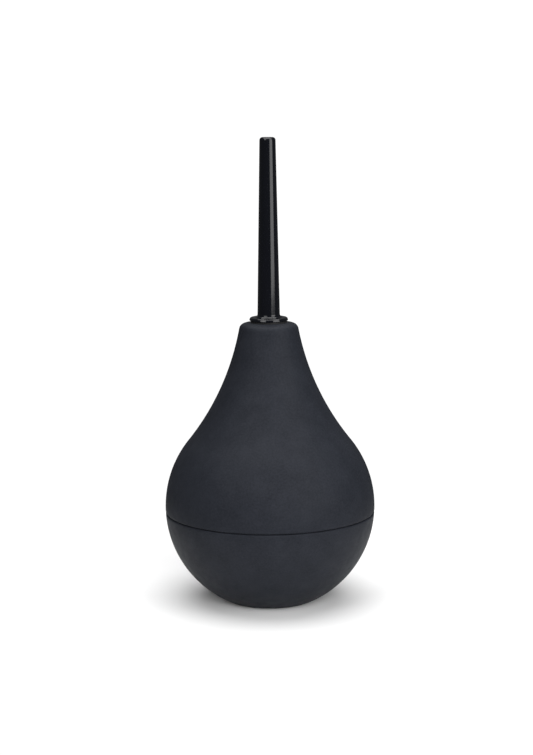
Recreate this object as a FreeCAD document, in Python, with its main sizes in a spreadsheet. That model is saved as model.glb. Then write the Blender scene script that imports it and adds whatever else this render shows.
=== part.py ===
import FreeCAD, Part
import os
import re
import Sketcher

# Dust blower bulb: a squeeze bulb of two bonded silicone shells, a screw-in nozzle, and a
# one-way valve at each end.  Millimetres, +Z up, origin on the table under the middle of
# the foot ring.  Everything is turned about the Z axis unless its function says otherwise.

# Every size that can be set by itself: name, value, meaning.  Each name has an underscore.
SIZES = [
    ("bulb_radius", 32.0, "outer radius of the round bowl"),
    ("foot_radius", 13.5, "outer radius of the flat ring the bulb stands on"),
    ("neck_rise", 23.95, "height of the neck's outer edge above the top of the bowl's sphere"),
    ("neck_radius", 8.75, "outer radius of the neck at its top edge"),
    ("crown_rise", 0.65, "rise of the neck's top from its outer edge in to the socket"),
    ("flare_radius", 79.0, "radius of the hollow curve from the bowl up to the neck"),
    ("bulb_wall", 2.8, "silicone wall"),
    ("neck_rounding", 1.9, "rounding of the neck's top edge"),
    ("neck_bore_depth", 17.5, "length of the neck's bore, from its top face to the ceiling inside"),
    ("ceiling_rounding", 1.5, "rounding inside, where the ceiling meets the wall"),
    ("seam_height", 27.5, "height of the joint between the two shells"),
    ("seam_chamfer", 0.3, "bevel on each shell's outer edge, which leaves a fine groove"),
    ("lap_height", 3.0, "height of the lap joint behind the seam"),
    ("lip_thickness", 1.4, "thickness of the upper shell's lip over the lap"),
    ("foot_rounding", 3.0, "rounding where the bowl meets the foot ring"),
    ("recess_radius", 10.5, "radius of the recess under the bulb"),
    ("recess_depth", 2.0, "depth of the recess under the bulb"),
    ("recess_rounding", 0.5, "rounding of the recess's mouth"),
    ("base_thickness", 3.0, "thickness of the bulb's base around the inlet"),
    ("floor_rounding", 3.0, "rounding inside, where the base meets the wall"),
    ("socket_radius", 5.8, "outer radius of the socket in the neck"),
    ("rib_drop", 6.0, "distance from the neck's top face down to the socket's rib"),
    ("rib_height", 2.4, "height of the socket's rib"),
    ("rib_depth", 1.0, "how far the socket's rib bites into the neck"),
    ("collar_radius", 8.6, "outer radius of the socket's collar under the ceiling"),
    ("collar_thickness", 1.4, "thickness of the socket's collar"),
    ("mouth_chamfer", 0.45, "bevel at the mouth of the socket"),
    ("web_thickness", 1.4, "thickness of the pierced web above the ball"),
    ("web_hole_radius", 0.65, "radius of each air hole in the web"),
    ("web_hole_circle", 2.1, "radius of the circle that the web's holes lie on"),
    ("web_hole_count", 5, "air holes in the web"),
    ("ball_radius", 2.0, "radius of the outlet ball"),
    ("ball_lift", 1.2, "travel of the outlet ball"),
    ("ball_side_gap", 0.8, "room for air around the outlet ball"),
    ("valve_gap", 0.05, "gap left where a valve part meets its seat or its stop"),
    ("seat_radius", 4.4, "outer radius of the outlet seat"),
    ("seat_depth", 3.6, "height of the outlet seat"),
    ("seat_hole_radius", 1.2, "radius of the hole through the outlet seat"),
    ("seat_cone_radius", 2.4, "radius of the outlet seat's cone at its top"),
    ("bead_depth", 0.25, "how far each snap bead stands out"),
    ("bead_width", 0.9, "width of each snap bead"),
    ("seal_thickness", 0.6, "thickness of the washer under the nozzle's flange"),
    ("seal_radius", 5.3, "outer radius of the washer"),
    ("seal_clearance", 0.2, "gap between the washer and the crest of the thread"),
    ("flange_radius", 5.9, "outer radius of the nozzle's flange"),
    ("flange_thickness", 0.85, "thickness of the nozzle's flange"),
    ("flange_taper", 0.27, "how much narrower the flange's upper rim is than its lower"),
    ("flange_rounding", 0.45, "rounding of the flange's upper rim"),
    ("flange_edge_rounding", 0.12, "rounding of the flange's lower rim"),
    ("nozzle_length", 54.0, "length of the nozzle above its flange"),
    ("nozzle_foot_radius", 3.4, "outer radius of the nozzle at its flange"),
    ("nozzle_tip_radius", 2.4, "outer radius of the nozzle at its tip"),
    ("nozzle_foot_rounding", 1.1, "hollow rounding between the nozzle and its flange"),
    ("tip_rounding", 0.9, "rounding of the nozzle's tip"),
    ("outlet_radius", 1.2, "radius of the straight outlet bore at the tip"),
    ("outlet_depth", 12.0, "length of the straight outlet bore"),
    ("shank_bore_radius", 2.0, "radius of the bore through the shank"),
    ("shank_length", 9.85, "length of the threaded shank under the flange"),
    ("shank_core_radius", 3.2, "radius of the shank between the turns of its thread"),
    ("shank_chamfer", 0.4, "bevel at the end of the shank"),
    ("thread_pitch", 2.0, "rise of the thread in one turn"),
    ("thread_turns", 3.5, "turns of thread on the shank"),
    ("thread_depth", 0.6, "height of the thread's ridge"),
    ("thread_root_width", 1.1, "width of the ridge at its root"),
    ("thread_crest_width", 0.5, "width of the ridge at its crest"),
    ("thread_lead", 1.0, "distance from the shank's end to the middle of the first turn"),
    ("thread_clearance", 0.15, "gap between the nozzle's thread and the socket's, all round"),
    ("nose_gap", 2.5, "distance from the end of the shank to the web"),
    ("grommet_radius", 5.0, "outer radius of the inlet seat's barrel"),
    ("grommet_clearance", 0.05, "gap between the barrel and the hole in the base"),
    ("grommet_flange_radius", 7.4, "outer radius of the inlet seat's flange"),
    ("grommet_flange_thickness", 1.0, "thickness of the inlet seat's flange"),
    ("grommet_rise", 3.2, "height of the barrel above the bulb's base inside"),
    ("grille_sink", 0.8, "depth of the grille above the flange's lower face"),
    ("grille_thickness", 1.2, "thickness of the grille"),
    ("grille_hole_radius", 0.65, "radius of each hole in the grille"),
    ("grille_hole_circle", 1.95, "radius of the circle that the grille's holes lie on"),
    ("grille_hole_count", 6, "holes in the grille"),
    ("valve_bore_radius", 4.1, "radius of the chamber that the inlet disc floats in"),
    ("lip_radius", 3.4, "outer radius of the raised lip that the inlet disc closes on"),
    ("lip_width", 0.5, "width of the raised lip"),
    ("lip_height", 0.3, "height of the raised lip"),
    ("disc_clearance", 0.35, "gap around the inlet disc"),
    ("disc_thickness", 0.6, "thickness of the inlet disc"),
    ("disc_lift", 1.0, "travel of the inlet disc"),
    ("cage_clearance", 0.05, "gap between the cage and the inlet seat's barrel"),
    ("cage_wall", 1.3, "wall of the cage"),
    ("cage_plate", 1.2, "thickness of the cage's top"),
    ("cage_flange_width", 1.2, "how far the cage's foot stands out from its wall"),
    ("cage_flange_thickness", 1.0, "thickness of the cage's foot"),
    ("cage_peg_radius", 1.2, "radius of the peg that stops the inlet disc"),
    ("cage_window_radius", 0.8, "radius of each air hole in the cage"),
    ("cage_window_circle", 2.7, "radius of the circle that the cage's holes lie on"),
    ("cage_window_count", 6, "air holes in the cage"),
]

# Sizes and heights that follow from the ones above, each worked out by the document.
DERIVED = [
    # The bowl is a sphere cut off at the foot; the neck's hollow curve is tangent to it.
    ("bowl_centre", "sqrt(bulb_radius^2 - foot_radius^2)"),
    ("neck_edge_height", "bowl_centre + bulb_radius + neck_rise"),
    ("neck_top", "neck_edge_height + crown_rise"),
    ("neck_lift", "neck_edge_height - bowl_centre"),
    ("neck_span", "sqrt(neck_radius^2 + neck_lift^2)"),
    ("flare_reach", "bulb_radius + flare_radius"),
    ("lean_cos", "(neck_span^2 + flare_reach^2 - flare_radius^2) / (2 * neck_span * flare_reach)"),
    ("lean_sin", "sqrt(1 - lean_cos^2)"),
    ("shoulder_cos", "(neck_radius * lean_cos + neck_lift * lean_sin) / neck_span"),
    ("shoulder_sin", "(neck_lift * lean_cos - neck_radius * lean_sin) / neck_span"),
    ("flare_offset", "flare_reach * shoulder_cos"),
    ("flare_height", "bowl_centre + flare_reach * shoulder_sin"),
    ("inner_radius", "bulb_radius - bulb_wall"),
    ("inner_flare_radius", "flare_radius + bulb_wall"),
    # The seam and its lap.
    ("seam_radius", "sqrt(bulb_radius^2 - (seam_height - bowl_centre)^2)"),
    ("lap_radius", "seam_radius - lip_thickness"),
    ("lap_top", "seam_height + lap_height"),
    ("lap_inner_radius", "sqrt(inner_radius^2 - (lap_top - bowl_centre)^2)"),
    # The bulb's ceiling, base and floor.
    ("ceiling_height", "neck_top - neck_bore_depth"),
    ("ceiling_radius", "flare_offset - sqrt(inner_flare_radius^2 - (flare_height - ceiling_height)^2)"),
    ("floor_height", "recess_depth + base_thickness"),
    ("floor_radius", "sqrt(inner_radius^2 - (floor_height - bowl_centre)^2)"),
    ("inlet_hole_radius", "grommet_radius + grommet_clearance"),
    # The nozzle, from its flange up and down.
    ("flange_bottom", "neck_top + seal_thickness"),
    ("flange_top", "flange_bottom + flange_thickness"),
    ("nozzle_top", "flange_top + nozzle_length"),
    ("shank_bottom", "flange_bottom - shank_length"),
    ("shank_crest_radius", "shank_core_radius + thread_depth"),
    ("thread_start", "shank_bottom + thread_lead"),
    # The socket, down to the outlet seat.  The seat's cone has 45 degree sides.
    ("thread_bore_radius", "shank_core_radius + thread_clearance"),
    ("groove_start", "thread_start - thread_pitch"),
    ("web_top", "shank_bottom - nose_gap"),
    ("web_bottom", "web_top - web_thickness"),
    ("ball_height", "web_bottom - valve_gap - ball_lift - ball_radius"),
    ("ball_chamber_radius", "ball_radius + ball_side_gap"),
    ("seat_cone_bottom", "ball_height - sqrt(2) * (ball_radius + valve_gap) + seat_hole_radius"),
    ("seat_top", "seat_cone_bottom + seat_cone_radius - seat_hole_radius"),
    ("seat_bottom", "seat_top - seat_depth"),
    ("seat_bead_height", "seat_bottom + seat_depth / 2"),
    ("rib_top", "neck_top - rib_drop"),
    ("rib_bottom", "rib_top - rib_height"),
    # The inlet valve in the base.
    ("grommet_bottom", "recess_depth - grommet_flange_thickness"),
    ("grommet_top", "floor_height + grommet_rise"),
    ("grommet_bead_height", "floor_height + cage_flange_thickness + grommet_rise / 3"),
    ("grille_bottom", "grommet_bottom + grille_sink"),
    ("grille_top", "grille_bottom + grille_thickness"),
    ("disc_bottom", "grille_top + lip_height + valve_gap"),
    ("disc_radius", "valve_bore_radius - disc_clearance"),
    ("peg_bottom", "disc_bottom + disc_thickness + disc_lift + valve_gap"),
    ("cage_bore_radius", "grommet_radius + cage_clearance"),
    ("cage_radius", "cage_bore_radius + cage_wall"),
    ("cage_top", "grommet_top + cage_plate"),
]

DERIVED_NAMES = [name for name, formula in DERIVED]

doc = FreeCAD.newDocument("DustBlowerBulb")


# ---------------------------------------------------------------- sizes and expressions

def linked(text):
    """Turn the size names in a formula into references to the document's own values."""
    def reference(match):
        word = match.group(0)
        return ("Derived." if word in DERIVED_NAMES else "Sizes.") + word
    return re.sub(r"[a-z]+(_[a-z]+)+", reference, text)


def value(text):
    """The number a formula gives now."""
    return float(sheet.evalExpression(linked(text)))


def make_sheet():
    """The driving sizes, one row each."""
    new_sheet = doc.addObject("Spreadsheet::Sheet", "Sizes")
    for row, (name, size, meaning) in enumerate(SIZES, start=1):
        new_sheet.set("A%d" % row, name)
        new_sheet.set("B%d" % row, str(size))
        new_sheet.setAlias("B%d" % row, name)
        new_sheet.set("C%d" % row, meaning)
    doc.recompute()
    return new_sheet


def make_derived():
    """The sizes that follow from the sheet."""
    variables = doc.addObject("App::VarSet", "Derived")
    for name, formula in DERIVED:
        variables.addProperty("App::PropertyFloat", name)
        variables.setExpression(name, linked(formula))
    doc.recompute()


# ---------------------------------------------------------------- building blocks

def new_body(label):
    body = doc.addObject("PartDesign::Body", label.title().replace("_", ""))
    body.Label = label
    return body


def origin_part(body, role):
    """One of the body's own origin planes or axes."""
    return next(item for item in body.Origin.OriginFeatures if item.Role == role)


def settled(feature):
    """Recompute, and stop if this feature failed."""
    doc.recompute()
    if "Invalid" in feature.State or "Error" in feature.State or feature.Shape.isNull():
        raise RuntimeError("%s failed: %s" % (feature.Name, feature.State))
    return feature


def settled_cut(feature, before):
    """Recompute a feature that takes material away, and stop if it took none."""
    settled(feature)
    if feature.Shape.Volume >= before.Shape.Volume:
        raise RuntimeError("%s cut nothing" % feature.Name)
    return feature


def new_sketch(body, name, role, lift=None):
    """An empty sketch on one of the body's origin planes, lifted off it by a formula."""
    sketch = body.newObject("Sketcher::SketchObject", name)
    sketch.AttachmentSupport = (origin_part(body, role), "")
    sketch.MapMode = "FlatFace"
    if lift:
        sketch.setExpression("AttachmentOffset.Base.z", linked(lift))
    return sketch


def fix_point(sketch, edge, end, across, up):
    """Pin one end of a sketch edge at the distances two formulas give from the origin."""
    for kind, formula, axis in (("DistanceX", across, -2), ("DistanceY", up, -1)):
        if formula == "0":
            sketch.addConstraint(Sketcher.Constraint("PointOnObject", edge, end, axis))
        else:
            row = sketch.addConstraint(
                Sketcher.Constraint(kind, -1, 1, edge, end, value(formula)))
            sketch.setExpression("Constraints[%d]" % row, linked(formula))


def arc(radius, centre_across, centre_up):
    """Marks a rounded edge, from the corner before it to the corner after it."""
    return ("arc", radius, centre_across, centre_up)


def half_section(body, name, outline):
    """A closed outline, distance from the Z axis across and height up.

    The outline lists corners, each a pair of formulas.  An arc() between two corners
    makes the edge between them round, and any other edge is straight.
    """
    corners = [entry for entry in outline if entry[0] != "arc"]
    arcs = {}
    for entry, following in zip(outline, outline[1:]):
        if following[0] == "arc":
            arcs[corners.index(entry)] = following
    points = [FreeCAD.Vector(value(across), value(up), 0) for across, up in corners]

    sketch = new_sketch(body, name, "XZ_Plane")
    ends = []
    for number, start in enumerate(points):
        finish = points[(number + 1) % len(points)]
        if number not in arcs:
            sketch.addGeometry(Part.LineSegment(start, finish))
            ends.append((1, 2))
            continue
        radius, centre_across, centre_up = arcs[number][1:]
        centre = FreeCAD.Vector(value(centre_across), value(centre_up), 0)
        turns_left = (start - centre).cross(finish - centre).z > 0
        first, last = (start, finish) if turns_left else (finish, start)
        circle = Part.Circle(centre, FreeCAD.Vector(0, 0, 1), value(radius))
        sketch.addGeometry(
            Part.ArcOfCircle(circle, circle.parameter(first), circle.parameter(last)))
        ends.append((1, 2) if turns_left else (2, 1))

    for number, (across, up) in enumerate(corners):
        before = number - 1 if number else len(corners) - 1
        sketch.addConstraint(
            Sketcher.Constraint("Coincident", before, ends[before][1], number, ends[number][0]))
        fix_point(sketch, number, ends[number][0], across, up)
    for number, entry in arcs.items():
        row = sketch.addConstraint(Sketcher.Constraint("Radius", number, value(entry[1])))
        sketch.setExpression("Constraints[%d]" % row, linked(entry[1]))
    return sketch


def turned(body, name, outline):
    """A solid of revolution about the Z axis."""
    sketch = half_section(body, name + "Outline", outline)
    feature = body.newObject("PartDesign::Revolution", name)
    feature.Profile = sketch
    feature.ReferenceAxis = (sketch, ["V_Axis"])
    feature.Angle = 360
    return settled(feature)


def ring_edges(shape, rings):
    """The names of the full circles about the Z axis at the given radii and heights."""
    wanted = [(value(radius), value(height)) for radius, height in rings]
    found = []
    for radius, height in wanted:
        for number, edge in enumerate(shape.Edges, start=1):
            if not isinstance(edge.Curve, Part.Circle):
                continue
            if abs(edge.Curve.Radius - radius) < 1e-4 and abs(edge.Curve.Center.z - height) < 1e-4:
                found.append("Edge%d" % number)
    if len(found) != len(wanted):
        raise RuntimeError("%d edges found for %s" % (len(found), rings))
    return found


def softened(body, name, base, kind, size, rings):
    """Round or bevel the given circular edges of a solid: kind is Fillet or Chamfer."""
    feature = body.newObject("PartDesign::" + kind, name)
    feature.Base = (base, ring_edges(base.Shape, rings))
    feature.setExpression("Radius" if kind == "Fillet" else "Size", linked(size))
    return settled(feature)


def ring_of_holes(body, name, base, hole_radius, circle_radius, count, top, depth):
    """Round holes along Z, evenly spaced on a circle, cut down from a height."""
    sketch = new_sketch(body, name + "Outline", "XY_Plane", lift=top)
    sketch.addGeometry(
        Part.Circle(FreeCAD.Vector(value(circle_radius), 0, 0), FreeCAD.Vector(0, 0, 1),
                    value(hole_radius)))
    fix_point(sketch, 0, 3, circle_radius, "0")
    row = sketch.addConstraint(Sketcher.Constraint("Radius", 0, value(hole_radius)))
    sketch.setExpression("Constraints[%d]" % row, linked(hole_radius))
    pocket = body.newObject("PartDesign::Pocket", name)
    pocket.Profile = sketch
    pocket.setExpression("Length", linked(depth))
    settled_cut(pocket, base)
    pattern = body.newObject("PartDesign::PolarPattern", name + "Ring")
    pattern.Originals = [pocket]
    pattern.Axis = (origin_part(body, "Z_Axis"), [""])
    pattern.Angle = 360
    pattern.setExpression("Occurrences", linked(count))
    body.Tip = pattern
    return settled_cut(pattern, pocket)


def helix(body, name, kind, outline, height):
    """Sweep a small outline up a right-hand helix: kind is AdditiveHelix or SubtractiveHelix."""
    sketch = half_section(body, name + "Outline", outline)
    feature = body.newObject("PartDesign::" + kind, name)
    feature.Profile = sketch
    feature.ReferenceAxis = (sketch, ["V_Axis"])
    feature.Mode = "pitch-height-angle"
    feature.setExpression("Pitch", linked("thread_pitch"))
    feature.setExpression("Height", linked(height))
    feature.Angle = 0
    feature.LeftHanded = False
    feature.Reversed = False
    return settled(feature)


def bead(radius, height):
    """The three corners of a snap bead on a cylinder, from its lower edge to its upper."""
    return [
        (radius, height + " - bead_width / 2"),
        (radius + " + bead_depth", height),
        (radius, height + " + bead_width / 2"),
    ]


# ---------------------------------------------------------------- the bulb

def upper_bulb():
    """The upper shell: bowl, shoulder and thick neck, with the socket's bore in it."""
    body = new_body("upper_bulb")
    shell = turned(body, "UpperShell", [
        ("seam_radius", "seam_height"),
        arc("bulb_radius", "0 * bulb_radius", "bowl_centre"),
        ("bulb_radius * shoulder_cos", "bowl_centre + bulb_radius * shoulder_sin"),
        arc("flare_radius", "flare_offset", "flare_height"),
        ("neck_radius", "neck_edge_height"),
        ("socket_radius", "neck_top"),
        ("socket_radius", "rib_top"),
        ("socket_radius + rib_depth", "rib_top - rib_depth"),
        ("socket_radius + rib_depth", "rib_bottom"),
        ("socket_radius", "rib_bottom"),
        ("socket_radius", "ceiling_height"),
        ("ceiling_radius", "ceiling_height"),
        arc("inner_flare_radius", "flare_offset", "flare_height"),
        ("inner_radius * shoulder_cos", "bowl_centre + inner_radius * shoulder_sin"),
        arc("inner_radius", "0 * bulb_radius", "bowl_centre"),
        ("lap_inner_radius", "lap_top"),
        ("lap_radius", "lap_top"),
        ("lap_radius", "seam_height"),
    ])
    shell = softened(body, "NeckEdge", shell, "Fillet", "neck_rounding",
                     [("neck_radius", "neck_edge_height")])
    shell = softened(body, "CeilingEdge", shell, "Fillet", "ceiling_rounding",
                     [("ceiling_radius", "ceiling_height")])
    softened(body, "SeamBevel", shell, "Chamfer", "seam_chamfer",
             [("seam_radius", "seam_height")])
    return body


def lower_bulb():
    """The lower shell: the bottom of the bowl, its foot ring and the hole for the inlet."""
    body = new_body("lower_bulb")
    shell = turned(body, "LowerShell", [
        ("seam_radius", "seam_height"),
        arc("bulb_radius", "0 * bulb_radius", "bowl_centre"),
        ("foot_radius", "0"),
        ("recess_radius", "0"),
        ("recess_radius", "recess_depth"),
        ("inlet_hole_radius", "recess_depth"),
        ("inlet_hole_radius", "floor_height"),
        ("floor_radius", "floor_height"),
        arc("inner_radius", "0 * bulb_radius", "bowl_centre"),
        ("lap_inner_radius", "lap_top"),
        ("lap_radius", "lap_top"),
        ("lap_radius", "seam_height"),
    ])
    shell = softened(body, "FootEdge", shell, "Fillet", "foot_rounding",
                     [("foot_radius", "0")])
    shell = softened(body, "RecessEdge", shell, "Fillet", "recess_rounding",
                     [("recess_radius", "0")])
    shell = softened(body, "FloorEdge", shell, "Fillet", "floor_rounding",
                     [("floor_radius", "floor_height")])
    softened(body, "SeamBevel", shell, "Chamfer", "seam_chamfer",
             [("seam_radius", "seam_height")])
    return body


# ---------------------------------------------------------------- the neck and its valve

def neck_socket():
    """The hard bush in the neck: thread for the nozzle, web over the ball, seat pocket."""
    body = new_body("neck_socket")
    bush = turned(body, "Bush", [
        ("socket_radius", "neck_top"),
        ("socket_radius", "rib_top"),
        ("socket_radius + rib_depth", "rib_top - rib_depth"),
        ("socket_radius + rib_depth", "rib_bottom"),
        ("socket_radius", "rib_bottom"),
        ("socket_radius", "ceiling_height"),
        ("collar_radius", "ceiling_height"),
        ("collar_radius", "ceiling_height - collar_thickness"),
        ("socket_radius", "ceiling_height - collar_thickness"),
        ("socket_radius", "seat_bottom"),
        ("seat_radius", "seat_bottom"),
        *bead("seat_radius", "seat_bead_height"),
        ("seat_radius", "seat_top"),
        ("ball_chamber_radius", "seat_top"),
        ("ball_chamber_radius", "web_bottom"),
        ("0", "web_bottom"),
        ("0", "web_top"),
        ("thread_bore_radius", "web_top"),
        ("thread_bore_radius", "neck_top - mouth_chamfer"),
        ("thread_bore_radius + mouth_chamfer", "neck_top"),
    ])
    bush = ring_of_holes(body, "WebHoles", bush, "web_hole_radius", "web_hole_circle",
                         "web_hole_count", "web_top", "web_thickness")
    groove = helix(body, "Thread", "SubtractiveHelix", [
        ("shank_core_radius", "groove_start - thread_root_width / 2 - thread_clearance"),
        ("shank_crest_radius + thread_clearance",
         "groove_start - thread_crest_width / 2 - thread_clearance"),
        ("shank_crest_radius + thread_clearance",
         "groove_start + thread_crest_width / 2 + thread_clearance"),
        ("shank_core_radius", "groove_start + thread_root_width / 2 + thread_clearance"),
    ], "neck_top - groove_start + thread_pitch / 2")
    settled_cut(groove, bush)
    return body


def outlet_seat():
    """The ring snapped into the socket from below, with the cone that the ball closes."""
    body = new_body("outlet_seat")
    turned(body, "SeatRing", [
        ("seat_hole_radius", "seat_bottom"),
        ("seat_radius", "seat_bottom"),
        *bead("seat_radius", "seat_bead_height"),
        ("seat_radius", "seat_top"),
        ("seat_cone_radius", "seat_top"),
        ("seat_hole_radius", "seat_cone_bottom"),
    ])
    return body


def outlet_ball():
    """The ball that rises to let air out and drops to keep dust from coming back."""
    ball = doc.addObject("Part::Sphere", "OutletBall")
    ball.Label = "outlet_ball"
    ball.setExpression("Radius", linked("ball_radius"))
    ball.setExpression("Placement.Base.z", linked("ball_height"))
    return ball


# ---------------------------------------------------------------- the nozzle

def nozzle():
    """The tapered tube, its flange and its threaded shank, bored from end to end."""
    body = new_body("nozzle")
    tube = turned(body, "Tube", [
        ("nozzle_tip_radius", "nozzle_top"),
        ("nozzle_foot_radius", "flange_top"),
        ("flange_radius - flange_taper", "flange_top"),
        ("flange_radius", "flange_bottom"),
        ("shank_core_radius", "flange_bottom"),
        ("shank_core_radius", "shank_bottom"),
        ("shank_bore_radius", "shank_bottom"),
        ("shank_bore_radius", "flange_top"),
        ("outlet_radius", "nozzle_top - outlet_depth"),
        ("outlet_radius", "nozzle_top"),
    ])
    tube = softened(body, "TipEdge", tube, "Fillet", "tip_rounding",
                    [("nozzle_tip_radius", "nozzle_top")])
    tube = softened(body, "FootEdge", tube, "Fillet", "nozzle_foot_rounding",
                    [("nozzle_foot_radius", "flange_top")])
    tube = softened(body, "FlangeRim", tube, "Fillet", "flange_rounding",
                    [("flange_radius - flange_taper", "flange_top")])
    tube = softened(body, "FlangeEdge", tube, "Fillet", "flange_edge_rounding",
                    [("flange_radius", "flange_bottom")])
    softened(body, "ShankEnd", tube, "Chamfer", "shank_chamfer",
             [("shank_core_radius", "shank_bottom")])
    helix(body, "Thread", "AdditiveHelix", [
        ("shank_core_radius - thread_clearance", "thread_start - thread_root_width / 2"),
        ("shank_crest_radius", "thread_start - thread_crest_width / 2"),
        ("shank_crest_radius", "thread_start + thread_crest_width / 2"),
        ("shank_core_radius - thread_clearance", "thread_start + thread_root_width / 2"),
    ], "thread_pitch * thread_turns")
    return body


def nozzle_seal():
    """The thin washer between the nozzle's flange and the socket."""
    body = new_body("nozzle_seal")
    turned(body, "Washer", [
        ("shank_crest_radius + seal_clearance", "neck_top"),
        ("seal_radius", "neck_top"),
        ("seal_radius", "flange_bottom"),
        ("shank_crest_radius + seal_clearance", "flange_bottom"),
    ])
    return body


# ---------------------------------------------------------------- the inlet in the base

def inlet_seat():
    """The flanged barrel through the base, with the grille and the lip over it."""
    body = new_body("inlet_seat")
    barrel = turned(body, "Barrel", [
        ("0", "grille_bottom"),
        ("valve_bore_radius", "grille_bottom"),
        ("valve_bore_radius", "grommet_bottom"),
        ("grommet_flange_radius", "grommet_bottom"),
        ("grommet_flange_radius", "recess_depth"),
        ("grommet_radius", "recess_depth"),
        *bead("grommet_radius", "grommet_bead_height"),
        ("grommet_radius", "grommet_top"),
        ("valve_bore_radius", "grommet_top"),
        ("valve_bore_radius", "grille_top"),
        ("lip_radius", "grille_top"),
        ("lip_radius", "grille_top + lip_height"),
        ("lip_radius - lip_width", "grille_top + lip_height"),
        ("lip_radius - lip_width", "grille_top"),
        ("0", "grille_top"),
    ])
    ring_of_holes(body, "Grille", barrel, "grille_hole_radius", "grille_hole_circle",
                  "grille_hole_count", "grille_top", "grille_thickness")
    return body


def inlet_disc():
    """The loose disc that lifts to let air in and drops on the lip to hold it."""
    disc = doc.addObject("Part::Cylinder", "InletDisc")
    disc.Label = "inlet_disc"
    disc.setExpression("Radius", linked("disc_radius"))
    disc.setExpression("Height", linked("disc_thickness"))
    disc.setExpression("Placement.Base.z", linked("disc_bottom"))
    return disc


def inlet_cage():
    """The pierced cap snapped over the barrel, which clamps the base and stops the disc."""
    body = new_body("inlet_cage")
    cap = turned(body, "Cap", [
        ("0", "peg_bottom"),
        ("cage_peg_radius", "peg_bottom"),
        ("cage_peg_radius", "grommet_top"),
        ("cage_bore_radius", "grommet_top"),
        *reversed(bead("cage_bore_radius", "grommet_bead_height")),
        ("cage_bore_radius", "floor_height"),
        ("cage_radius + cage_flange_width", "floor_height"),
        ("cage_radius + cage_flange_width", "floor_height + cage_flange_thickness"),
        ("cage_radius", "floor_height + cage_flange_thickness"),
        ("cage_radius", "cage_top"),
        ("0", "cage_top"),
    ])
    ring_of_holes(body, "Windows", cap, "cage_window_radius", "cage_window_circle",
                  "cage_window_count", "cage_top", "cage_plate")
    return body


# ---------------------------------------------------------------- build and write

def check_document(pieces):
    """Stop if any object of the document failed or any piece is not a sound solid."""
    for item in doc.Objects:
        if "Invalid" in item.State or "Error" in item.State:
            raise RuntimeError("%s is %s" % (item.Name, item.State))
    for piece in pieces:
        shape = piece.Shape
        if shape.isNull() or not shape.isValid() or len(shape.Solids) != 1:
            raise RuntimeError("%s is not one valid solid" % piece.Label)


def write_pieces(pieces):
    os.makedirs("parts", exist_ok=True)
    for piece in pieces:
        piece.Shape.exportStep("parts/%s.step" % piece.Label)
        print("%-12s %10.2f mm3" % (piece.Label, piece.Shape.Volume))


sheet = make_sheet()
make_derived()
all_pieces = [
    upper_bulb(),
    lower_bulb(),
    neck_socket(),
    outlet_seat(),
    outlet_ball(),
    nozzle(),
    nozzle_seal(),
    inlet_seat(),
    inlet_disc(),
    inlet_cage(),
]
doc.recompute()
check_document(all_pieces)
write_pieces(all_pieces)
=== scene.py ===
import bmesh
import bpy
import math
from mathutils import Matrix, Vector


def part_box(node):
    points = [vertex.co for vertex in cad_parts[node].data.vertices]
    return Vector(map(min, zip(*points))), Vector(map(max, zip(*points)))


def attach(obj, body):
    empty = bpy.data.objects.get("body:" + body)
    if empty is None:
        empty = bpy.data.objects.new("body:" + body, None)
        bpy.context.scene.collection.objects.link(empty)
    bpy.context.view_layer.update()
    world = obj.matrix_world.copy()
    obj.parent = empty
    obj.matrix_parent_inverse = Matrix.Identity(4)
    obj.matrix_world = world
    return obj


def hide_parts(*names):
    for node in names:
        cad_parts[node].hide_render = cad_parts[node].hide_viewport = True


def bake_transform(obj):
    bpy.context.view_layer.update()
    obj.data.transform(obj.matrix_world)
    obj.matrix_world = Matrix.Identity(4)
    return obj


# Dust blower bulb, dressed for its studio picture.  Metres, +Z up.  Turned pieces are given
# as an outline of one side: distance from the Z axis, then height.

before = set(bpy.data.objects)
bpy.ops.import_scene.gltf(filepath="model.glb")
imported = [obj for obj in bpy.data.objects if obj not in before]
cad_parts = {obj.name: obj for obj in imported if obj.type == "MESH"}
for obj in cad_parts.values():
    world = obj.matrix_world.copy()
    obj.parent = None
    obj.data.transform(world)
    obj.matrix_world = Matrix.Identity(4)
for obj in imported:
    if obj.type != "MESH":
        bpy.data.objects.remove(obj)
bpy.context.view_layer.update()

MM = 0.001

# The bulb.
BULB_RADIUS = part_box("upper_bulb")[1].x
FOOT_RADIUS = 13.5 * MM
NECK_RADIUS = 8.75 * MM
CROWN_RISE = 0.65 * MM
NECK_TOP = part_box("upper_bulb")[1].z
NECK_EDGE = NECK_TOP - CROWN_RISE
FLARE_RADIUS = 79.0 * MM
NECK_ROUNDING = 1.9 * MM
BULB_WALL = 2.8 * MM
SOCKET_RADIUS = 5.8 * MM
CEILING_DROP = 17.5 * MM
CEILING_ROUNDING = 1.5 * MM
SEAM_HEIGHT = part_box("upper_bulb")[0].z
SEAM_LIP = 0.45 * MM
SEAM_GAP = 0.1 * MM
SEAM_GAP_DEPTH = 0.8 * MM
LAP_HEIGHT = 3.0 * MM
LAP_WALL = 1.4 * MM
FOOT_ROUNDING = 3.0 * MM
RECESS_RADIUS = 10.5 * MM
RECESS_DEPTH = 2.0 * MM
RECESS_ROUNDING = 0.5 * MM
RECESS_CORNER_ROUNDING = 0.3 * MM
BASE_THICKNESS = 3.0 * MM
BASE_CORNER_ROUNDING = 3.0 * MM
INLET_HOLE_RADIUS = 5.05 * MM

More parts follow.
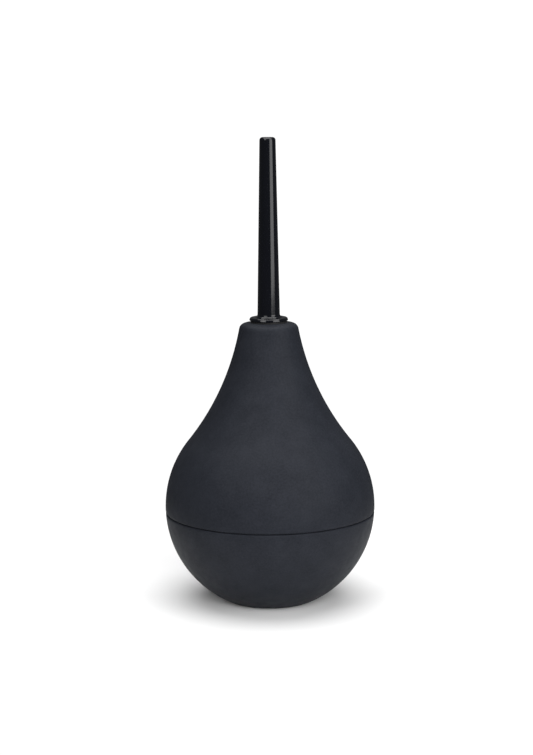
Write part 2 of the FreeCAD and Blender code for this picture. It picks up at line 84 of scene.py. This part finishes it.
# The nozzle.
NOZZLE_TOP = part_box("nozzle")[1].z
NOZZLE_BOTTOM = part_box("nozzle")[0].z
FLANGE_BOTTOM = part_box("nozzle_seal")[1].z
FLANGE_THICKNESS = 0.85 * MM
FLANGE_RADIUS = 5.9 * MM
FLANGE_TAPER = 0.27 * MM
FLANGE_ROUNDING = 0.45 * MM
FLANGE_EDGE_ROUNDING = 0.12 * MM
TUBE_FOOT_RADIUS = 3.4 * MM
TUBE_TIP_RADIUS = 2.4 * MM
TUBE_FOOT_ROUNDING = 1.1 * MM
TIP_ROUNDING = 0.9 * MM
OUTLET_RADIUS = 1.2 * MM
OUTLET_DEPTH = 12.0 * MM
OUTLET_LIP = 0.15 * MM
SHANK_BORE_RADIUS = 2.0 * MM
SHANK_RADIUS = 3.2 * MM
SHANK_BEVEL = 0.4 * MM
THREAD_PITCH = 2.0 * MM
THREAD_TURNS = 3.5
THREAD_DEPTH = 0.6 * MM
THREAD_ROOT = 1.1 * MM
THREAD_CREST = 0.5 * MM
THREAD_LEAD = 1.0 * MM
THREAD_SINK = 0.15 * MM
THREAD_RUNOUT = 0.3
THREAD_ROUNDING = 0.08 * MM
THREAD_SEGMENTS_PER_TURN = 64

# Fineness of the meshes.
SEGMENTS = 192
ARC_STEP = 0.8 * MM
CORNER_STEP = math.radians(9)
SHARP_ANGLE = math.radians(40)
SAME_POINT = 1e-7
MERGE_DISTANCE = 1e-6

# The finishes.  A noise keeps mostly between its low and high values.
NOISE_LOW = 0.3
NOISE_HIGH = 0.7
GLOSS_VARIATION = 0.05
MOULDED_GRAIN_SIZE = 0.3 * MM
MOULDED_GRAIN_DEPTH = 0.006 * MM
SILICONE_SPECULAR = 0.09
NOZZLE_SPECULAR = 0.4

# The camera.
CAMERA_DISTANCE = 0.570
CAMERA_HEIGHT = 0.1633
CAMERA_PITCH = math.radians(9.43)
CAMERA_ROLL = math.radians(-0.42)
CAMERA_SIDE = -0.0008
CAMERA_LENS = 90.8
CAMERA_SENSOR = 36
CAMERA_NEAR = 0.01

# The studio.
FLOOR_RADIUS = 0.12
FLOOR_SEGMENTS = 96
FLOOR_TONE = 0.70
FLOOR_ROUGHNESS = 0.7
FLOOR_SPECULAR = 0.1
ROOM_COLOUR = (0.97, 0.98, 1.0, 1)
ROOM_STRENGTH = 0.10
BACKDROP_COLOUR = (1, 1, 1, 1)
BACKDROP_STRENGTH = 1.05


# ---------------------------------------------------------------- outlines

def arc(centre, radius):
    """Marks a round edge, between the corner before it and the corner after it."""
    return ("arc", Vector(centre), radius)


class Edge:
    """A straight or round edge of an outline, measured by the length along it."""

    def __init__(self, start, finish, round_by=None):
        self.start = start
        self.finish = finish
        self.centre = None
        self.length = (finish - start).length
        if round_by:
            self.centre, self.radius = round_by[1:]
            self.angle = math.atan2(*reversed(start - self.centre))
            turn = math.atan2(*reversed(finish - self.centre)) - self.angle
            self.turn = (turn + math.pi) % (2 * math.pi) - math.pi
            self.length = abs(self.turn) * self.radius

    def at(self, along):
        """The point and the unit direction at a length along the edge."""
        share = along / self.length
        if self.centre is None:
            direction = (self.finish - self.start).normalized()
            return self.start + direction * along, direction
        angle = self.angle + self.turn * share
        outward = Vector((math.cos(angle), math.sin(angle)))
        side = math.copysign(1.0, self.turn)
        return self.centre + outward * self.radius, Vector((-outward.y, outward.x)) * side

    def between(self, first, last):
        """Points from one length to another; a straight edge needs only its ends."""
        steps = 1
        if self.centre is not None:
            steps = max(1, round((last - first) / ARC_STEP))
        return [self.at(first + (last - first) * k / steps)[0] for k in range(steps + 1)]


def corner_curve(before, heading_in, after, heading_out):
    """A round corner between two points, tangent to the headings at both."""
    turn = heading_in.angle(heading_out)
    across = after - before
    reach = (across.x * heading_out.y - across.y * heading_out.x) / (
        heading_in.x * heading_out.y - heading_in.y * heading_out.x)
    corner = before + heading_in * reach
    weight = math.cos(turn / 2)
    steps = max(2, round(turn / CORNER_STEP))
    points = []
    for k in range(1, steps):
        t = k / steps
        shares = ((1 - t) ** 2, 2 * t * (1 - t) * weight, t * t)
        total = sum(shares)
        points.append((before * shares[0] + corner * shares[1] + after * shares[2]) / total)
    return points


def outline(entries):
    """A closed outline as a list of points.

    Each entry is a corner (distance out, height, rounding), or an arc() that makes the edge
    between its two neighbours round.  A rounding of 0 leaves the corner sharp.
    """
    corners = [entry for entry in entries if entry[0] != "arc"]
    arcs = {}
    for entry, following in zip(entries, entries[1:]):
        if following[0] == "arc":
            arcs[corners.index(entry)] = following
    places = [Vector(corner[:2]) for corner in corners]
    count = len(places)
    edges = [Edge(places[k], places[(k + 1) % count], arcs.get(k)) for k in range(count)]

    trims = []
    for k, corner in enumerate(corners):
        heading_in = edges[k - 1].at(edges[k - 1].length)[1]
        heading_out = edges[k].at(0)[1]
        trims.append(corner[2] * math.tan(heading_in.angle(heading_out) / 2))

    points = []
    for k, edge in enumerate(edges):
        if trims[k]:
            before, heading_in = edges[k - 1].at(edges[k - 1].length - trims[k])
            after, heading_out = edge.at(trims[k])
            points += corner_curve(before, heading_in, after, heading_out)
        last = edge.length - trims[(k + 1) % count]
        points += edge.between(trims[k], last)
    kept = [point for point, following in zip(points, points[1:] + points[:1])
            if (point - following).length > SAME_POINT]
    return kept


# ---------------------------------------------------------------- turned meshes

def node(tree, kind, inputs=(), **settings):
    """A node with its settings, and its inputs joined to sockets or set to values."""
    made = tree.nodes.new(kind)
    for name, setting in settings.items():
        setattr(made, name, setting)
    for key, source in dict(inputs).items():
        if isinstance(source, bpy.types.NodeSocket):
            tree.links.new(source, made.inputs[key])
        else:
            made.inputs[key].default_value = source
    return made


def maths(tree, operation, first, second=0.0):
    """The result of a sum on numbers, for joining to another node."""
    return node(tree, "ShaderNodeMath", {0: first, 1: second}, operation=operation).outputs[0]


def whole_maths(tree, operation, first, second):
    """The result of a sum on whole numbers."""
    return node(tree, "FunctionNodeIntegerMath", {0: first, 1: second},
                operation=operation).outputs[0]


def turning_tree(name, numbers):
    """A tree that takes a closed outline and sweeps it round the Z axis.

    numbers are its own inputs besides Outline, Segments and Finish.  Returns the tree, its
    input node's sockets by name, and a function that ends it.
    """
    tree = bpy.data.node_groups.new(name, "GeometryNodeTree")
    sockets = tree.interface
    sockets.new_socket("Outline", in_out="INPUT", socket_type="NodeSocketGeometry")
    sockets.new_socket("Segments", in_out="INPUT", socket_type="NodeSocketInt")
    for number in numbers:
        sockets.new_socket(number, in_out="INPUT", socket_type="NodeSocketFloat")
    sockets.new_socket("Finish", in_out="INPUT", socket_type="NodeSocketMaterial")
    sockets.new_socket("Mesh", in_out="OUTPUT", socket_type="NodeSocketGeometry")
    given = tree.nodes.new("NodeGroupInput").outputs

    count = node(tree, "GeometryNodeAttributeDomainSize", {0: given["Outline"]},
                 component="MESH").outputs["Point Count"]
    rows = whole_maths(tree, "ADD", count, 1)
    columns = whole_maths(tree, "ADD", given["Segments"], 1)
    grid = node(tree, "GeometryNodeMeshGrid", {"Vertices X": columns, "Vertices Y": rows})
    index = tree.nodes.new("GeometryNodeInputIndex").outputs[0]
    column = whole_maths(tree, "DIVIDE", index, rows)
    row = whole_maths(tree, "MODULO", whole_maths(tree, "MODULO", index, rows), count)
    sample = node(tree, "GeometryNodeSampleIndex", {0: given["Outline"], "Index": row},
                  data_type="FLOAT_VECTOR", domain="POINT")
    position = tree.nodes.new("GeometryNodeInputPosition").outputs[0]
    tree.links.new(position, sample.inputs["Value"])
    place = node(tree, "ShaderNodeSeparateXYZ", {0: sample.outputs[0]}).outputs
    share = maths(tree, "DIVIDE", column, given["Segments"])

    def end(radius, angle, height):
        """Places the grid at the given distances out, angles and heights, and ends the tree."""
        across = maths(tree, "MULTIPLY", radius, maths(tree, "COSINE", angle))
        away = maths(tree, "MULTIPLY", radius, maths(tree, "SINE", angle))
        spot = node(tree, "ShaderNodeCombineXYZ", {"X": across, "Y": away, "Z": height})
        moved = node(tree, "GeometryNodeSetPosition",
                     {"Geometry": grid.outputs["Mesh"], "Position": spot.outputs[0]})
        merged = node(tree, "GeometryNodeMergeByDistance",
                      {"Geometry": moved.outputs[0], "Distance": MERGE_DISTANCE})
        smooth = node(tree, "GeometryNodeSetShadeSmooth", {"Geometry": merged.outputs[0]})
        real = node(tree, "GeometryNodeRealizeInstances", {"Geometry": smooth.outputs[0]})
        finished = node(tree, "GeometryNodeSetMaterial",
                        {"Geometry": real.outputs[0], "Material": given["Finish"]})
        result = tree.nodes.new("NodeGroupOutput")
        tree.links.new(finished.outputs[0], result.inputs[0])

    return tree, given, place, share, end


def lathe_tree():
    """One full turn about the Z axis."""
    tree, given, place, share, end = turning_tree("lathe", [])
    end(place["X"], maths(tree, "MULTIPLY", share, 2 * math.pi), place["Z"])
    return tree


def thread_tree():
    """A right-hand thread: the outline climbs as it turns, and sinks away at both ends."""
    tree, given, place, share, end = turning_tree(
        "thread", ["Turns", "Pitch", "Run out", "Core radius"])
    turned = maths(tree, "MULTIPLY", share, given["Turns"])
    left = maths(tree, "SUBTRACT", given["Turns"], turned)
    nearest = maths(tree, "MINIMUM", turned, left)
    fullness = maths(tree, "MINIMUM", maths(tree, "DIVIDE", nearest, given["Run out"]), 1.0)
    proud = maths(tree, "SUBTRACT", place["X"], given["Core radius"])
    radius = maths(tree, "MULTIPLY_ADD", proud, fullness)
    tree.links.new(given["Core radius"], radius.node.inputs[2])
    climb = maths(tree, "MULTIPLY", turned, given["Pitch"])
    end(radius, maths(tree, "MULTIPLY", turned, 2 * math.pi),
        maths(tree, "ADD", climb, place["Z"]))
    return tree


def outline_mesh(name, points):
    """The outline as a ring of edges for a tree to read."""
    mesh = bpy.data.meshes.new(name)
    count = len(points)
    edges = [(k, (k + 1) % count) for k in range(count)]
    mesh.from_pydata([(point.x, 0, point.y) for point in points], edges, [])
    return mesh


def swept(name, points, tree, finish, **inputs):
    """A plain mesh object: the outline taken through one of the trees."""
    draft = bpy.data.objects.new(name + "_draft", outline_mesh(name + "_draft", points))
    bpy.context.scene.collection.objects.link(draft)
    modifier = draft.modifiers.new("turn", "NODES")
    modifier.node_group = tree
    wanted = {"Segments": SEGMENTS, "Finish": finish}
    wanted.update({key.replace("_", " "): number for key, number in inputs.items()})
    for socket in tree.interface.items_tree:
        if socket.in_out == "INPUT" and socket.name in wanted:
            modifier[socket.identifier] = wanted[socket.name]
    depsgraph = bpy.context.evaluated_depsgraph_get()
    mesh = bpy.data.meshes.new_from_object(draft.evaluated_get(depsgraph))
    draft.modifiers.remove(modifier)
    bpy.data.objects.remove(draft)
    mesh.name = name
    close_and_face_out(mesh)
    mesh.set_sharp_from_angle(angle=SHARP_ANGLE)
    piece = bpy.data.objects.new(name, mesh)
    bpy.context.scene.collection.objects.link(piece)
    return piece


def close_and_face_out(mesh):
    """Fills any open end and turns the faces outwards."""
    shape = bmesh.new()
    shape.from_mesh(mesh)
    open_edges = [edge for edge in shape.edges if edge.is_boundary]
    if open_edges:
        bmesh.ops.holes_fill(shape, edges=open_edges)
    bmesh.ops.recalc_face_normals(shape, faces=shape.faces)
    shape.to_mesh(mesh)
    shape.free()


# ---------------------------------------------------------------- materials

def new_material(name):
    """A node material with its shader and the piece's own coordinates."""
    material = bpy.data.materials.new(name)
    material.use_nodes = True
    tree = material.node_tree
    shader = next(item for item in tree.nodes if item.type == "BSDF_PRINCIPLED")
    place = tree.nodes.new("ShaderNodeTexCoord").outputs["Object"]
    return material, tree, shader, place


def noise(tree, place, size, detail=2.0, stretch=(1, 1, 1)):
    """Soft random values between 0 and 1, with features of about the given size."""
    scaled = node(tree, "ShaderNodeMapping", {"Vector": place, "Scale": stretch})
    return node(tree, "ShaderNodeTexNoise",
                {"Vector": scaled.outputs[0], "Scale": 1 / size, "Detail": detail}).outputs["Fac"]


def spread(tree, source, low, high):
    """Values of a noise, which bunch round 0.5, drawn out between two numbers."""
    return node(tree, "ShaderNodeMapRange",
                {"Value": source, "From Min": NOISE_LOW, "From Max": NOISE_HIGH,
                 "To Min": low, "To Max": high}).outputs[0]


def tinted(tree, share, dark, light):
    """A colour between two, by a share from 0 to 1."""
    mix = node(tree, "ShaderNodeMix", {"Factor": share}, data_type="RGBA")
    mix.inputs["A"].default_value = (*dark, 1)
    mix.inputs["B"].default_value = (*light, 1)
    return mix.outputs["Result"]


def grained(tree, shader, height, depth):
    """Joins a bump of the given depth to the shader."""
    bump = node(tree, "ShaderNodeBump", {"Height": height, "Distance": depth, "Strength": 1.0})
    tree.links.new(bump.outputs[0], shader.inputs["Normal"])


def silicone_finish():
    """Matte charcoal silicone: cloudy, finely speckled tone and a fine moulded grain."""
    material, tree, shader, place = new_material("bulb_silicone")
    cloud = spread(tree, noise(tree, place, size=6 * MM, detail=3.0), low=0, high=0.4)
    speck = spread(tree, noise(tree, place, size=0.5 * MM), low=0, high=0.6)
    charcoal = tinted(tree, maths(tree, "ADD", cloud, speck),
                      dark=(0.0096, 0.0109, 0.0145), light=(0.0170, 0.0188, 0.0242))
    tree.links.new(charcoal, shader.inputs["Base Color"])
    rubbed = spread(tree, noise(tree, place, size=2.2 * MM, detail=4.0), low=0.50, high=0.60)
    tree.links.new(rubbed, shader.inputs["Roughness"])
    grained(tree, shader, noise(tree, place, size=0.25 * MM), depth=0.016 * MM)
    shader.inputs["Specular IOR Level"].default_value = SILICONE_SPECULAR
    return material


def nozzle_finish():
    """Polished black plastic with long faint flow marks."""
    material, tree, shader, place = new_material("nozzle_plastic")
    flow = noise(tree, place, size=1.2 * MM, detail=3.0, stretch=(1, 1, 0.06))
    black = tinted(tree, flow, dark=(0.0018, 0.0021, 0.0034), light=(0.0028, 0.0031, 0.0048))
    tree.links.new(black, shader.inputs["Base Color"])
    tree.links.new(spread(tree, flow, low=0.09, high=0.14), shader.inputs["Roughness"])
    ripple = noise(tree, place, size=2.5 * MM, stretch=(1, 1, 0.12))
    grained(tree, shader, ripple, depth=0.004 * MM)
    shader.inputs["Specular IOR Level"].default_value = NOZZLE_SPECULAR
    return material


def moulded_finish(name, dark, light, roughness):
    """Satin moulded plastic or rubber: slight cloudiness, varied gloss and fine grain."""
    material, tree, shader, place = new_material(name)
    cloud = spread(tree, noise(tree, place, size=3 * MM, detail=3.0), low=0, high=1)
    tree.links.new(tinted(tree, cloud, dark, light), shader.inputs["Base Color"])
    gloss = spread(tree, noise(tree, place, size=0.8 * MM, detail=3.0),
                   low=roughness - GLOSS_VARIATION, high=roughness + GLOSS_VARIATION)
    tree.links.new(gloss, shader.inputs["Roughness"])
    grained(tree, shader, noise(tree, place, size=MOULDED_GRAIN_SIZE), depth=MOULDED_GRAIN_DEPTH)
    return material


def dress_cad_nodes():
    """Gives the parts that keep their CAD shape their own finishes."""
    dark_plastic = moulded_finish(
        "dark_plastic", dark=(0.024, 0.025, 0.028), light=(0.032, 0.033, 0.036), roughness=0.38)
    seat_plastic = moulded_finish(
        "seat_plastic", dark=(0.70, 0.69, 0.63), light=(0.80, 0.79, 0.74), roughness=0.35)
    ball_plastic = moulded_finish(
        "ball_plastic", dark=(0.78, 0.76, 0.68), light=(0.85, 0.83, 0.76), roughness=0.18)
    seal_rubber = moulded_finish(
        "seal_rubber", dark=(0.006, 0.006, 0.007), light=(0.011, 0.011, 0.012), roughness=0.7)
    disc_silicone = moulded_finish(
        "disc_silicone", dark=(0.55, 0.53, 0.49), light=(0.66, 0.64, 0.60), roughness=0.5)
    finishes = {
        "neck_socket": dark_plastic,
        "outlet_seat": seat_plastic,
        "outlet_ball": ball_plastic,
        "nozzle_seal": seal_rubber,
        "inlet_seat": dark_plastic,
        "inlet_cage": dark_plastic,
        "inlet_disc": disc_silicone,
    }
    for name, finish in finishes.items():
        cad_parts[name].data.materials.clear()
        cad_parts[name].data.materials.append(finish)


# ---------------------------------------------------------------- the bulb

def bulb_curves():
    """The circles that the bowl and the neck's hollow flare follow, and where they meet."""
    bowl_centre = math.sqrt(BULB_RADIUS ** 2 - FOOT_RADIUS ** 2)
    lift = NECK_EDGE - bowl_centre
    span = math.hypot(NECK_RADIUS, lift)
    reach = BULB_RADIUS + FLARE_RADIUS
    lean = math.acos((span ** 2 + reach ** 2 - FLARE_RADIUS ** 2) / (2 * span * reach))
    shoulder = math.atan2(lift, NECK_RADIUS) - lean
    outward = Vector((math.cos(shoulder), math.sin(shoulder)))
    bowl = Vector((0, bowl_centre))
    return bowl, bowl + outward * reach, outward


def on_bowl(bowl, radius, height):
    """How far out the bowl of that radius is at a height."""
    return math.sqrt(radius ** 2 - (height - bowl.y) ** 2)


def upper_shell(lathe, finish):
    """The bowl's upper part, the flare and the thick neck."""
    bowl, flare, outward = bulb_curves()
    inner = BULB_RADIUS - BULB_WALL
    ceiling = NECK_TOP - CEILING_DROP
    inner_flare = FLARE_RADIUS + BULB_WALL
    ceiling_radius = flare.x - math.sqrt(inner_flare ** 2 - (flare.y - ceiling) ** 2)
    shoulder = bowl + outward * BULB_RADIUS
    inner_shoulder = bowl + outward * inner
    seam = on_bowl(bowl, BULB_RADIUS, SEAM_HEIGHT)
    lap_top = SEAM_HEIGHT + LAP_HEIGHT
    points = outline([
        (seam, SEAM_HEIGHT + SEAM_GAP, SEAM_LIP),
        arc(bowl, BULB_RADIUS),
        (*shoulder, 0),
        arc(flare, FLARE_RADIUS),
        (NECK_RADIUS, NECK_EDGE, NECK_ROUNDING),
        (SOCKET_RADIUS, NECK_TOP, 0),
        (SOCKET_RADIUS, ceiling, 0),
        (ceiling_radius, ceiling, CEILING_ROUNDING),
        arc(flare, inner_flare),
        (*inner_shoulder, 0),
        arc(bowl, inner),
        (on_bowl(bowl, inner, lap_top), lap_top, 0),
        (seam - LAP_WALL, lap_top, 0),
        (seam - LAP_WALL, SEAM_HEIGHT, 0),
        (seam - SEAM_GAP_DEPTH, SEAM_HEIGHT, 0),
        (seam - SEAM_GAP_DEPTH, SEAM_HEIGHT + SEAM_GAP, 0),
    ])
    shell = swept("upper_shell", points, lathe, finish)
    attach(shell, "bulb")
    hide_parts("upper_bulb")


def lower_shell(lathe, finish):
    """The bowl's lower part, its foot ring and the recess round the inlet."""
    bowl = bulb_curves()[0]
    inner = BULB_RADIUS - BULB_WALL
    floor = RECESS_DEPTH + BASE_THICKNESS
    seam = on_bowl(bowl, BULB_RADIUS, SEAM_HEIGHT)
    lap_top = SEAM_HEIGHT + LAP_HEIGHT
    points = outline([
        (seam, SEAM_HEIGHT - SEAM_GAP, SEAM_LIP),
        arc(bowl, BULB_RADIUS),
        (FOOT_RADIUS, 0, FOOT_ROUNDING),
        (RECESS_RADIUS, 0, RECESS_ROUNDING),
        (RECESS_RADIUS, RECESS_DEPTH, RECESS_CORNER_ROUNDING),
        (INLET_HOLE_RADIUS, RECESS_DEPTH, 0),
        (INLET_HOLE_RADIUS, floor, 0),
        (on_bowl(bowl, inner, floor), floor, BASE_CORNER_ROUNDING),
        arc(bowl, inner),
        (on_bowl(bowl, inner, lap_top), lap_top, 0),
        (seam - LAP_WALL, lap_top, 0),
        (seam - LAP_WALL, SEAM_HEIGHT, 0),
        (seam - SEAM_GAP_DEPTH, SEAM_HEIGHT, 0),
        (seam - SEAM_GAP_DEPTH, SEAM_HEIGHT - SEAM_GAP, 0),
    ])
    shell = swept("lower_shell", points, lathe, finish)
    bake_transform(shell)
    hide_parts("lower_bulb")


# ---------------------------------------------------------------- the nozzle

def nozzle_tube(lathe, finish):
    """The long tapered tube with its flange and its shank, bored from end to end."""
    flange_top = FLANGE_BOTTOM + FLANGE_THICKNESS
    points = outline([
        (TUBE_TIP_RADIUS, NOZZLE_TOP, TIP_ROUNDING),
        (OUTLET_RADIUS, NOZZLE_TOP, OUTLET_LIP),
        (OUTLET_RADIUS, NOZZLE_TOP - OUTLET_DEPTH, 0),
        (SHANK_BORE_RADIUS, flange_top, 0),
        (SHANK_BORE_RADIUS, NOZZLE_BOTTOM, 0),
        (SHANK_RADIUS - SHANK_BEVEL, NOZZLE_BOTTOM, 0),
        (SHANK_RADIUS, NOZZLE_BOTTOM + SHANK_BEVEL, 0),
        (SHANK_RADIUS, FLANGE_BOTTOM, 0),
        (FLANGE_RADIUS, FLANGE_BOTTOM, FLANGE_EDGE_ROUNDING),
        (FLANGE_RADIUS - FLANGE_TAPER, flange_top, FLANGE_ROUNDING),
        (TUBE_FOOT_RADIUS, flange_top, TUBE_FOOT_ROUNDING),
    ])
    tube = swept("nozzle_tube", points, lathe, finish)
    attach(tube, "nozzle")
    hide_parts("nozzle")


def nozzle_thread(thread, finish):
    """The ridge that winds up the shank."""
    start = NOZZLE_BOTTOM + THREAD_LEAD
    core = SHANK_RADIUS - THREAD_SINK
    crest = SHANK_RADIUS + THREAD_DEPTH
    points = outline([
        (core, start - THREAD_ROOT / 2, 0),
        (crest, start - THREAD_CREST / 2, THREAD_ROUNDING),
        (crest, start + THREAD_CREST / 2, THREAD_ROUNDING),
        (core, start + THREAD_ROOT / 2, 0),
    ])
    ridge = swept("nozzle_thread", points, thread, finish,
                  Segments=round(THREAD_SEGMENTS_PER_TURN * THREAD_TURNS),
                  Turns=THREAD_TURNS, Pitch=THREAD_PITCH, Run_out=THREAD_RUNOUT,
                  Core_radius=core)
    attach(ridge, "nozzle")


# ---------------------------------------------------------------- the studio

def studio_floor():
    """A round pale table top, lit brightly enough to look white."""
    shape = bmesh.new()
    bmesh.ops.create_circle(
        shape, cap_ends=True, segments=FLOOR_SEGMENTS, radius=FLOOR_RADIUS)
    mesh = bpy.data.meshes.new("studio_floor")
    shape.to_mesh(mesh)
    shape.free()
    material, _, shader, _ = new_material("floor_pale")
    shader.inputs["Base Color"].default_value = (FLOOR_TONE, FLOOR_TONE, FLOOR_TONE, 1)
    shader.inputs["Roughness"].default_value = FLOOR_ROUGHNESS
    shader.inputs["Specular IOR Level"].default_value = FLOOR_SPECULAR
    mesh.materials.append(material)
    floor = bpy.data.objects.new("studio_floor", mesh)
    bpy.context.scene.collection.objects.link(floor)


def aimed(location, target):
    """A turn that points a light or camera from one place at another."""
    return (Vector(target) - Vector(location)).to_track_quat("-Z", "Y").to_matrix().to_4x4()


def panel(name, azimuth, distance, bottom, top, width, radiance, mirrored=True):
    """An upright panel of light facing the bulb.

    Azimuth 0 is on the camera's side and 90 on its right; bottom and top are heights above the
    table.  A panel that isn't mirrored lights the bulb but doesn't show in glossy surfaces.
    """
    light = bpy.data.lights.new(name, "AREA")
    light.shape = "RECTANGLE"
    light.size = width
    light.size_y = top - bottom
    light.energy = radiance * width * (top - bottom) * math.pi
    side = math.radians(azimuth)
    middle = (top + bottom) / 2
    location = (distance * math.sin(side), -distance * math.cos(side), middle)
    lamp = bpy.data.objects.new(name, light)
    lamp.matrix_world = Matrix.Translation(location) @ aimed(location, (0, 0, middle))
    lamp.visible_camera = False
    lamp.visible_glossy = mirrored
    bpy.context.scene.collection.objects.link(lamp)


def overhead(elevation, angle, strength):
    """A wide soft light from above; beyond 90 degrees it stands a little behind the bulb."""
    light = bpy.data.lights.new("overhead", "SUN")
    light.energy = strength
    light.angle = math.radians(angle)
    up = math.radians(elevation)
    away = Vector((0, -math.cos(up), math.sin(up)))
    lamp = bpy.data.objects.new("overhead", light)
    lamp.matrix_world = aimed(away, (0, 0, 0))
    bpy.context.scene.collection.objects.link(lamp)


def studio_world():
    """A dim room to be lit by, and a white backdrop to be seen against."""
    world = bpy.data.worlds.new("studio")
    world.use_nodes = True
    tree = world.node_tree
    tree.nodes.clear()
    room = node(tree, "ShaderNodeBackground",
                {"Color": ROOM_COLOUR, "Strength": ROOM_STRENGTH})
    backdrop = node(tree, "ShaderNodeBackground",
                    {"Color": BACKDROP_COLOUR, "Strength": BACKDROP_STRENGTH})
    seen = tree.nodes.new("ShaderNodeLightPath").outputs["Is Camera Ray"]
    mix = node(tree, "ShaderNodeMixShader",
               {0: seen, 1: room.outputs[0], 2: backdrop.outputs[0]})
    result = tree.nodes.new("ShaderNodeOutputWorld")
    tree.links.new(mix.outputs[0], result.inputs[0])
    bpy.context.scene.world = world


def studio_camera():
    """A long lens, looking a little down on the bulb."""
    lens = bpy.data.cameras.new("camera")
    lens.lens = CAMERA_LENS
    lens.sensor_width = CAMERA_SENSOR
    lens.clip_start = CAMERA_NEAR
    camera = bpy.data.objects.new("camera", lens)
    camera.matrix_world = (
        Matrix.Translation((CAMERA_SIDE, -CAMERA_DISTANCE, CAMERA_HEIGHT))
        @ Matrix.Rotation(math.pi / 2 - CAMERA_PITCH, 4, "X")
        @ Matrix.Rotation(CAMERA_ROLL, 4, "Z"))
    bpy.context.scene.collection.objects.link(camera)
    bpy.context.scene.camera = camera


# ---------------------------------------------------------------- build

lathe = lathe_tree()
thread = thread_tree()
silicone = silicone_finish()
black_gloss = nozzle_finish()
upper_shell(lathe, silicone)
lower_shell(lathe, silicone)
nozzle_tube(lathe, black_gloss)
nozzle_thread(thread, black_gloss)
dress_cad_nodes()

studio_floor()
studio_world()
overhead(elevation=98, angle=64, strength=3.6)
panel("right_panel", azimuth=49, distance=0.75, bottom=0.075, top=0.90, width=0.55, radiance=3.7)
panel("left_panel", azimuth=-36, distance=0.75, bottom=0.36, top=0.80, width=0.45, radiance=4.0)
panel("front_panel", azimuth=8, distance=0.9, bottom=0.05, top=0.80, width=0.50, radiance=7.8,
      mirrored=False)
studio_camera()
bpy.context.scene.view_settings.view_transform = "Standard"
